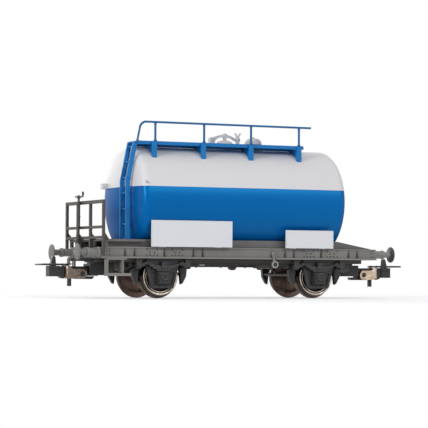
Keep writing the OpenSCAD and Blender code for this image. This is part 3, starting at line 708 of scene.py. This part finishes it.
def solebar_rivets():
    """Rivet groups over the axle guards and at the solebars' ends, and the upright ribs between them."""
    group = [(-1.6, 12.25), (-0.53, 12.25), (0.53, 12.25), (1.6, 12.25), (-0.76, 13.05), (0.76, 13.05),
             (-1.6, 13.85), (1.6, 13.85)]
    for side, name in SIDES:
        bm = bmesh.new()
        for axle in (-AXLE_X, AXLE_X):
            for middle in (-3.9, 3.9):
                for dx, z in group:
                    rivet(bm, (axle + middle + dx, side * SOLE_FACE, z), Y * side, 0.19, 0.13)
        for x in (-42.6, -41.8, 41.8, 42.6):
            for z in (12.3, 13.2, 13.8):
                rivet(bm, (x, side * SOLE_FACE, z), Y * side, 0.15, 0.11)
        for end in (LEFT, RIGHT):
            for step in (-11.8, -8.9, 0.15, 9.3, 12.2):
                tapered_rib(bm, end * (AXLE_X + step), side)
        # the rivets and ribs take the dark copy of the frame grey, painted shade
        piece("solebar_rivets_" + name, bm, FRAME_SHADE, slot="frame_grey")


def buffer_base(end, side):
    """The middle of a buffer's base on the headstock."""
    return Vector((end * BUFFER_BASE.x, side * BUFFER_BASE.y, BUFFER_BASE.z))


def headstock_details():
    """Bolts round each buffer's base, gusset rivets, and the plate the coupling goes through."""
    bm = bmesh.new()
    for end in (LEFT, RIGHT):
        face = end * HEADSTOCK_FACE
        for side in (NEAR, FAR):
            for k in range(4):
                a = math.pi / 4 + k * math.pi / 2
                place = buffer_base(end, side) + 1.22 * Vector((0, math.cos(a), math.sin(a)))
                bolt(bm, place, X * end, 0.16, 0.12)
            for y in (5.0, 6.2, 7.4):
                for z in (11.9, 13.9):
                    rivet(bm, (face, side * y, z), X * end, 0.15, 0.1)
            prism(bm, [(side * 2.6, 11.5), (side * 3.4, 11.5), (side * 3.0, 14.1), (side * 2.6, 14.1)], "X",
                  face, face + end * 0.3)
        box(bm, (face, -2.3, 11.6), (face + end * 0.14, 2.3, 14.0))
        for y in (-1.8, 1.8):
            for z in (12.0, 13.6):
                bolt(bm, (face + end * 0.12, y, z), X * end, 0.18, 0.12)
    piece("headstock_details", bm, FRAME, slot="frame_grey", round_edges=0.03)


def buffer_shape(bm, centre, direction):
    """One buffer: sleeve with its base and end bead, plunger, and head with a slightly domed face."""
    sleeve = [(0, 0), (1.45, 0), (1.45, 0.2), (1.3, 0.32), (1.2, 0.6), (1.15, 0.95), (1.15, 3.0),
              (1.25, 3.08), (1.3, 3.2), (1.3, 3.8), (1.25, 3.92), (1.1, 3.95), (0.88, 3.95)]
    plunger = [(0.88, 3.95), (0.88, 5.75), (0.92, 5.95), (1.05, 6.12), (1.4, 6.24), (2.1, 6.28), (2.3, 6.32),
               (2.35, 6.42), (2.35, 6.55), (2.28, 6.65), (2.0, 6.7), (1.3, 6.735), (0, 6.75)]
    lathe(bm, sleeve, centre, direction, 56)
    # the back of the head takes a darker copy of the buffer grey, painted shade; its rim and face keep the lighter
    # grey
    lathe(bm, plunger, centre, direction, 56, materials=[0] + [2] * 6 + [1] * 5)
    bmesh.ops.remove_doubles(bm, verts=bm.verts, dist=0.001)


def buffers():
    """Both buffers of each end."""
    for end, name in ENDS:
        bm = bmesh.new()
        for side in (NEAR, FAR):
            buffer_shape(bm, buffer_base(end, side), X * end)
        piece("buffer_pair_" + name, bm, SLEEVE, BUFFER, BUFFER_SHADE, slot="buffer_grey",
              replaces=["buffers_" + name])


def sign_rims():
    """The raised edge and the screws of each blank sign plate."""
    for side, name in SIDES:
        low, high = span("signs_" + name)
        face = low.y if side == NEAR else high.y
        y0, y1 = face - side * 0.05, face + side * 0.06
        base, edge, inset = SIGN_BASE_Z, 0.22, 0.6
        bm = bmesh.new()
        # the long sign, and the short one, which is lower
        for x0, x1, top in ((low.x, -4.65, high.z), (12.65, high.x, high.z - 2.3)):
            for a, b in (((x0, base), (x1, base + edge)), ((x0, top - edge), (x1, top)),
                         ((x0, base + edge), (x0 + edge, top - edge)),
                         ((x1 - edge, base + edge), (x1, top - edge))):
                box(bm, (a[0], y0, a[1]), (b[0], y1, b[1]))
            for x in (x0 + inset, x1 - inset):
                for z in (base + inset, top - inset):
                    rivet(bm, (x, face, z), Y * side, 0.13, 0.05)
        piece("sign_rims_" + name, bm, SIGN, slot="sign_white")


def step_tread():
    """The corner steps' treads and the rivets on their hangers."""
    bm = bmesh.new()
    for side in (NEAR, FAR):
        chequer(bm, (-42.4, -35.9), sorted((side * 11.5, side * 13.25)), 7.1, 0.8, 0.05)
        for x in (-42.57, -37.92):
            for z in (10.2, 9.6):
                rivet(bm, (x, side * 13.4, z), Y * side, 0.15, 0.08)
    piece("step_tread", bm, FRAME, slot="frame_grey")


def underframe():
    """Cross members, pull rods and pipe under the floor."""
    bm = bmesh.new()
    floor_low = span("floor_plate")[0].z
    for end in (LEFT, RIGHT):
        for x in (end * (AXLE_X - 8.9), end * (AXLE_X + 8.9)):
            box(bm, (x - 0.35, -9.2, floor_low - 1.5), (x + 0.35, 9.2, floor_low + 0.05))
            box(bm, (x - 0.6, -9.2, floor_low - 1.5), (x + 0.6, 9.2, floor_low - 1.25))
        # guide block behind the coupler's pocket, with a smaller block on either side of it
        guide = [(32.6, 10.25), (38.05, 10.25), (38.05, 6.9), (36.8, 6.9), (33.4, 7.9)]
        prism(bm, [(end * x, z) for x, z in guide], "Y", -2.5, 2.5)
        block = [(34.2, 10.25), (37.8, 10.25), (37.8, 8.2), (36.2, 7.6), (34.8, 8.2)]
        for side in (NEAR, FAR):
            prism(bm, [(end * x, z) for x, z in block], "Y", side * 6.2, side * 7.4)
    for y in (-8.6, 8.6):
        box(bm, (-15.6, y - 0.2, floor_low - 0.5), (15.6, y + 0.2, floor_low + 0.05))
    piece("cross_members", bm, UNDERFRAME, slot="black_plastic", round_edges=0.05)
    # pull rods from the brake gear to the beams, which bear on the shoes
    bm = bmesh.new()
    beam_z = 6.95
    for end, start in ((LEFT, Vector((-8.3, 0, 9.6))), (RIGHT, Vector((8.8, 0, 9.5)))):
        tube(bm, [start, Vector((end * 14.6, 0, 9.3)), Vector((end * 17.2, 0, beam_z))], 0.3, 12)
        for side in (NEAR, FAR):
            tube(bm, [Vector((end * 17.3, side * y, beam_z)) for y in (0.6, 7.2)], 0.5, 14)
    piece("brake_rods", bm, UNDERFRAME, slot="black_plastic")
    bm = bmesh.new()
    pipe_y, low_z, pipe_r = 3.4, 9.3, 0.28
    path = [(-36.0, 9.9), (-20.0, 9.9), (-12.0, low_z), (12.0, low_z), (20.0, 9.9), (36.0, 9.9)]
    tube(bm, [Vector((x, pipe_y, z)) for x, z in path], pipe_r, 12)
    for x in (-8, 0, 8):
        lathe(bm, [(pipe_r, 0), (0.45, 0.05), (0.45, 0.55), (pipe_r, 0.6)], Vector((x, pipe_y, low_z)), X, 16)
    piece("brake_pipe", bm, UNDERFRAME, slot="black_plastic")


# ---------------------------------------------------------------- running gear

def axle_guard_details():
    """Rivets, bolts and ribs of the axle guards, and the rings and lids of the axle boxes."""
    for side, name in SIDES:
        out = Y * side
        bm = bmesh.new()
        for axle in (-AXLE_X, AXLE_X):
            for end in (-1, 1):
                for dx, z in ((3.37, 4.4), (3.68, 5.5), (4.0, 6.6), (4.42, 8.2)):
                    rivet(bm, (axle + end * dx, side * 11.4, z), out, 0.15, 0.12)
                for dx in (1.0, 2.7):
                    bolt(bm, (axle + end * dx, side * 11.7, 3.25), out, 0.19, 0.15)
                for z in (4.65, 6.95):
                    bolt(bm, (axle + end * 1.28, side * 12.7, z), out, 0.18, 0.15)
                for dx, z in ((5.6, 9.9), (7.6, 9.0)):
                    bolt(bm, (axle + end * dx, side * 12.6, z), out, 0.24, 0.16)
                for z in (9.9, 10.7):
                    rivet(bm, (axle + end * 7.6, side * 12.4, z), out, 0.15, 0.1)
                # stiffening rib along the leg
                rib = [(3.32, 3.6), (3.52, 3.6), (4.75, 8.4), (4.55, 8.4)]
                prism(bm, [(axle + end * dx, z) for dx, z in rib], "Y", side * 11.35, side * 11.52)
            ring = Vector((axle, side * 13.0, AXLE_Z))
            lathe(bm, [(1.02, -0.05), (1.02, 0.08), (0.9, 0.14), (0.72, 0.1), (0.66, -0.05)], ring, out, 32)
            bolt(bm, ring, out, 0.26, 0.16)
            # lid of the axle box, hinged at the top
            box(bm, (axle - 1.15, side * 12.65, 7.05), (axle + 1.15, side * 12.8, 7.3))
            for z in (8.2, 9.9):
                bolt(bm, (axle, side * 12.8, z), out, 0.24, 0.15)
            box(bm, (axle - 1.0, side * 12.6, 8.95), (axle + 1.0, side * 12.9, 9.25))
        piece("axle_guard_details_" + name, bm, BLACK_LIGHTER, slot="black_plastic", round_edges=0.02)


def wheel_shape(bm, centre, out):
    """A wheel turned from its back, at the centre, to its face: tread and flange, face rings, web and hub."""
    back = [(1.0, 0.0), (1.9, 0.0), (1.98, 0.08), (2.0, 0.2), (2.2, 0.26), (4.1, 0.26), (4.25, 0.2),
            (4.3, 0.06), (4.4, 0.0), (5.85, 0.0), (6.05, 0.06)]
    flange = [(6.17, 0.18), (6.2, 0.3), (6.17, 0.42), (6.05, 0.56), (5.88, 0.68)]
    tread = [(5.7, 0.8), (5.57, 0.95), (5.5, 1.15), (5.44, 2.5), (5.4, 2.66)]
    rim = [(5.3, 2.76), (5.18, 2.8), (4.9, 2.8), (4.84, 2.76)]
    groove = [(4.82, 2.5), (4.76, 2.44), (4.62, 2.44), (4.56, 2.5)]
    inner_ring = [(4.54, 2.72), (4.48, 2.76), (4.28, 2.74), (4.22, 2.66)]
    web = [(4.16, 1.85), (4.05, 1.68), (3.85, 1.6), (2.3, 1.6), (2.05, 1.68), (1.95, 1.85), (1.92, 2.35),
           (1.85, 2.45), (1.75, 2.5), (1.0, 2.5)]
    bands = [(back, 0), (flange, 1), (tread, 2), (rim, 3), (groove, 2), (inner_ring, 3), (web, 4)]
    outline = [point for points, _ in bands for point in points]
    finishes = [finish for points, finish in bands for _ in points]
    lathe(bm, outline, centre, out, 128, materials=finishes)


def wheels():
    """The four turned wheels, which roll with their axles."""
    for end, side_name in ENDS:
        for side, name in SIDES:
            node = "wheel_%s_%s" % (side_name, name)
            bm = bmesh.new()
            wheel_shape(bm, Vector((end * AXLE_X, side * WHEEL_BACK_Y, AXLE_Z)), Y * side)
            piece(node + "_turned", bm, WHEEL_BACK, FLANGE, TREAD, NICKEL, WHEEL_WEB, slot="wheel_nickel",
                  body="wheelset_" + side_name, replaces=[node])


def axle_collars():
    """A collar behind each wheel and a thicker middle on each axle."""
    collar = [(1.0, 0), (1.35, 0.05), (1.45, 0.2), (1.45, 0.7), (1.3, 0.9), (1.0, 0.9)]
    middle = [(1.0, -2.2), (1.12, -2.0), (1.12, 2.0), (1.0, 2.2)]
    for end, side_name in ENDS:
        bm = bmesh.new()
        for side in (NEAR, FAR):
            lathe(bm, collar, Vector((end * AXLE_X, side * (WHEEL_BACK_Y - 0.9), AXLE_Z)), Y * side, 40)
        lathe(bm, middle, Vector((end * AXLE_X, 0, AXLE_Z)), Y, 40)
        piece("axle_collars_" + side_name, bm, AXLE_STEEL, slot="axle_steel", body="wheelset_" + side_name)


def brake_details():
    """The shoes' blocks, which stand proud of their holders, with their hanger bolts and beam ends."""
    block = [(7.0, 8.3), (6.75, 6.4), (6.9, 4.6), (7.4, 5.0), (7.5, 6.6), (7.6, 8.3)]
    beam_end = [(0.62, 0), (0.62, 0.25), (0.45, 0.32), (0, 0.34)]
    bm = bmesh.new()
    for axle in (-AXLE_X, AXLE_X):
        for end in (-1, 1):
            for side in (NEAR, FAR):
                bolt(bm, (axle + end * 8.0, side * 8.9, 9.3), Y * side, 0.24, 0.14)
                prism(bm, [(axle + end * dx, z) for dx, z in block], "Y", side * 7.82, side * 9.28)
                lathe(bm, beam_end, Vector((axle + end * 7.8, side * 7.55, 6.9)), Y * side, 16)
    piece("brake_details", bm, BLACK, slot="black_plastic", round_edges=0.03)


def changeover_rings():
    """The grey ring and the dark boss on each changeover lever, and the lever's pivot."""
    ring = [(0.95, -0.1), (0.97, 0.06), (0.9, 0.12), (0.72, 0.12), (0.66, 0.04), (0.66, -0.1)]
    boss = [(0.66, 0.01), (0.4, 0.01), (0.38, 0.1), (0.3, 0.13), (0, 0.13)]
    bm = bmesh.new()
    for side in (NEAR, FAR):
        face = Vector((9.55, side * 14.0, 9.8))
        lathe(bm, ring, face, Y * side, 32)
        lathe(bm, boss, face, Y * side, 32, material=1)
        bolt(bm, (9.0, side * 13.6, 13.0), Y * side, 0.25, 0.15)
    piece("changeover_rings", bm, RING, BLACK, slot="frame_grey")


# ---------------------------------------------------------------- couplers

def round_corner(before, corner, after, radius, steps=6):
    """The points of a rounded right-angled corner."""
    a = (before - corner).normalized()
    b = (after - corner).normalized()
    centre = corner + (a + b) * radius
    turns = [k / steps * math.pi / 2 for k in range(steps + 1)]
    return [centre - b * radius * math.cos(t) - a * radius * math.sin(t) for t in turns]


def loop_wires():
    """The round wire of each loop, bent from one strap clip out to the tip and back to the other."""
    wire_r = 0.245
    for end, name in ENDS:
        low, high = span("loop_wire_" + name)
        z = (low.z + high.z) / 2
        tip, root, half, inner = 58.2 - wire_r, 50.3, 3.9, 1.3
        stops = [Vector((x, y, z)) for x, y in (
            (root, -inner), (root, -half), (tip, -half), (tip, half), (root, half), (root, inner))]
        path = [stops[0]]
        for before, corner, after, radius in zip(stops, stops[1:], stops[2:], (0.75, 1.35, 1.35, 0.75)):
            path += round_corner(before, corner, after, radius)
        path.append(stops[-1])
        bm = bmesh.new()
        tube(bm, [Vector((end * p.x, p.y, p.z)) for p in path], wire_r, 16)
        # the ends of the wire turn in clips on the strap
        clip = [(0.25, 0), (0.34, 0.03), (0.34, 0.75), (0.25, 0.78)]
        for side in (NEAR, FAR):
            lathe(bm, clip, Vector((end * root, side * 1.35, z)), Y * side, 16)
        piece("loop_wire_round_" + name, bm, WIRE, slot="black_plastic", body="loop_" + name,
              replaces=["loop_wire_" + name])


def coupler_details():
    """Pin heads and ribs on each coupler head, and the eyes and the tab of its strap."""
    pin_head = [(0.6, -0.1), (0.6, 0.05), (0.5, 0.16), (0.25, 0.22), (0, 0.23)]
    eye = [(0.68, -0.02), (0.68, 0.05), (0.8, 0.09), (1.0, 0.07), (1.05, -0.02)]
    for end, name in ENDS:
        bm = bmesh.new()
        for side in (NEAR, FAR):
            lathe(bm, pin_head, Vector((end * LOOP_PIN_X, side * 2.5, LOOP_PIN_Z)), Y * side, 24)
            for z in (6.6, 8.2):
                box(bm, (end * 52.7, side * 1.25, z), (end * 55.0, side * 1.36, z + 0.4))
        piece("coupler_details_" + name, bm, BLACK, slot="black_plastic", body="coupler_head_" + name,
              round_edges=0.02)
        bm = bmesh.new()
        for side in (NEAR, FAR):
            lathe(bm, eye, Vector((end * LOOP_PIN_X, side * 2.35, LOOP_PIN_Z)), Y * side, 28)
        # the left strap's eyes take its darker bronze, painted shade
        piece("strap_eyes_" + name, bm, SPECIAL_FINISH.get("strap_" + name, BRONZE), slot="strap_bronze",
              body="loop_" + name)
        # a dark cover over the strap's tab below it, a painted dark reflection of the tab's own metal
        bm = bmesh.new()
        box(bm, (end * 48.36, -0.54, 3.4), (end * 49.34, 0.54, 5.5))
        piece("strap_tab_" + name, bm, WIRE, slot="strap_bronze", body="loop_" + name, round_edges=0.1)


tank_skin()
tank_lug()
tank_fittings()
walkway_tread()
handrail_fittings()
ladder_fittings()
deck_boards()
railing_rivets()
handbrake_gear()
solebar_rivets()
headstock_details()
buffers()
sign_rims()
step_tread()
underframe()
axle_guard_details()
wheels()
axle_collars()
brake_details()
changeover_rings()
loop_wires()
coupler_details()


# ---------------------------------------------------------------- stage

def seen_by_eye_or_mirror(nodes, links):
    """1 for rays from the camera or off a gloss, so that both see the same white background."""
    path = nodes.new("ShaderNodeLightPath")
    either = nodes.new("ShaderNodeMath")
    either.operation = "MAXIMUM"
    links.new(path.outputs["Is Camera Ray"], either.inputs[0])
    links.new(path.outputs["Is Glossy Ray"], either.inputs[1])
    return either.outputs["Value"]


def product(nodes, links, value, factor):
    """A value times a number or another value."""
    node = nodes.new("ShaderNodeMath")
    node.operation = "MULTIPLY"
    links.new(value, node.inputs[0])
    if isinstance(factor, float):
        node.inputs[1].default_value = factor
    else:
        links.new(factor, node.inputs[1])
    return node.outputs["Value"]


def studio():
    """A world that looks white and lights the wagon more softly than it looks."""
    world = bpy.data.worlds.new("studio")
    bpy.context.scene.world = world
    world.use_nodes = True
    nodes, links = world.node_tree.nodes, world.node_tree.links
    nodes.clear()
    mix = nodes.new("ShaderNodeMixShader")
    links.new(seen_by_eye_or_mirror(nodes, links), mix.inputs["Fac"])
    for socket, strength in ((1, 0.36), (2, 1.0)):
        light = nodes.new("ShaderNodeBackground")
        light.inputs["Color"].default_value = (1, 1, 1, 1)
        light.inputs["Strength"].default_value = strength
        links.new(light.outputs["Background"], mix.inputs[socket])
    out = nodes.new("ShaderNodeOutputWorld")
    links.new(mix.outputs["Shader"], out.inputs["Surface"])


def softbox(name, place, target, size, watts):
    """A rectangular area light aimed at a target."""
    lamp = bpy.data.lights.new(name, "AREA")
    lamp.shape = "RECTANGLE"
    lamp.size, lamp.size_y = size
    lamp.energy = watts
    obj = link(bpy.data.objects.new(name, lamp))
    obj.location = place
    obj.rotation_euler = (Vector(target) - Vector(place)).to_track_quat("-Z", "Y").to_euler()


def floor():
    """A pale floor that shades into the white background away from the wagon."""
    bm = bmesh.new()
    bmesh.ops.create_circle(bm, cap_ends=True, segments=96, radius=2.5)
    mesh = bpy.data.meshes.new("floor")
    bm.to_mesh(mesh)
    bm.free()
    obj = link(bpy.data.objects.new("floor", mesh))
    material, nodes, links, shader = new_material("floor_white")
    coordinates = nodes.new("ShaderNodeTexCoord").outputs["Object"]
    grain = noise(nodes, links, coordinates, 60.0, 4.0)
    tint = ramp(nodes, links, grain.outputs["Fac"], [(0.3, (0.8, 0.8, 0.8, 1)), (0.7, (0.83, 0.83, 0.83, 1))])
    links.new(tint.outputs["Color"], shader.inputs["Base Color"])
    shader.inputs["Roughness"].default_value = 0.85
    shader.inputs["Specular IOR Level"].default_value = 0.1
    # near the wagon the floor glows a little for the eye, and far from it it is the background's white
    eye = seen_by_eye_or_mirror(nodes, links)
    lift = nodes.new("ShaderNodeEmission")
    links.new(product(nodes, links, eye, 0.32), lift.inputs["Strength"])
    near = nodes.new("ShaderNodeAddShader")
    links.new(shader.outputs["BSDF"], near.inputs[0])
    links.new(lift.outputs["Emission"], near.inputs[1])
    distance = nodes.new("ShaderNodeVectorMath")
    distance.operation = "LENGTH"
    links.new(coordinates, distance.inputs[0])
    fade = spread(nodes, links, distance.outputs["Value"], 0, 1)
    fade.interpolation_type = "SMOOTHSTEP"
    fade.inputs["From Min"].default_value = 0.07
    fade.inputs["From Max"].default_value = 0.26
    white = nodes.new("ShaderNodeEmission")
    mix = nodes.new("ShaderNodeMixShader")
    links.new(product(nodes, links, fade.outputs["Result"], eye), mix.inputs["Fac"])
    links.new(near.outputs["Shader"], mix.inputs[1])
    links.new(white.outputs["Emission"], mix.inputs[2])
    links.new(mix.outputs["Shader"], nodes["Material Output"].inputs["Surface"])
    paint(obj, material)


def camera():
    """From the left of the near side, level with the wheels."""
    yaw, pitch, roll = math.radians(25.689), math.radians(-1.406), math.radians(-0.258)
    distance = 595.4 * MM
    aim = Vector((0, 0, 20.7 * MM))
    forward = Vector((math.sin(yaw) * math.cos(pitch), math.cos(yaw) * math.cos(pitch), -math.sin(pitch)))
    right = Vector((math.cos(yaw), -math.sin(yaw), 0))
    up = right.cross(forward)
    turn = Matrix((right, up, -forward)).transposed().to_4x4() @ Matrix.Rotation(-roll, 4, "Z")
    data = bpy.data.cameras.new("camera")
    data.sensor_width = 36
    data.lens = 170.5
    data.shift_x, data.shift_y = -0.0253, 0.0315
    data.clip_start, data.clip_end = 0.01, 20
    obj = link(bpy.data.objects.new("camera", data))
    obj.matrix_world = Matrix.Translation(aim - forward * distance) @ turn
    bpy.context.scene.camera = obj


studio()
floor()
WAGON_MIDDLE = (0, 0, 0.025)
softbox("left", (-0.93, -0.36, 0.3), WAGON_MIDDLE, (0.3, 0.3), 3.9)
softbox("front", (0.22, -0.88, 0.46), WAGON_MIDDLE, (0.9, 0.16), 2.9)
softbox("top", (0, 0.1, 0.9), (0, 0, 0), (0.8, 0.8), 1.2)
softbox("back", (-0.1, 0.9, 0.35), WAGON_MIDDLE, (0.7, 0.5), 3.0)
camera()

bpy.context.scene.view_settings.view_transform = "Standard"
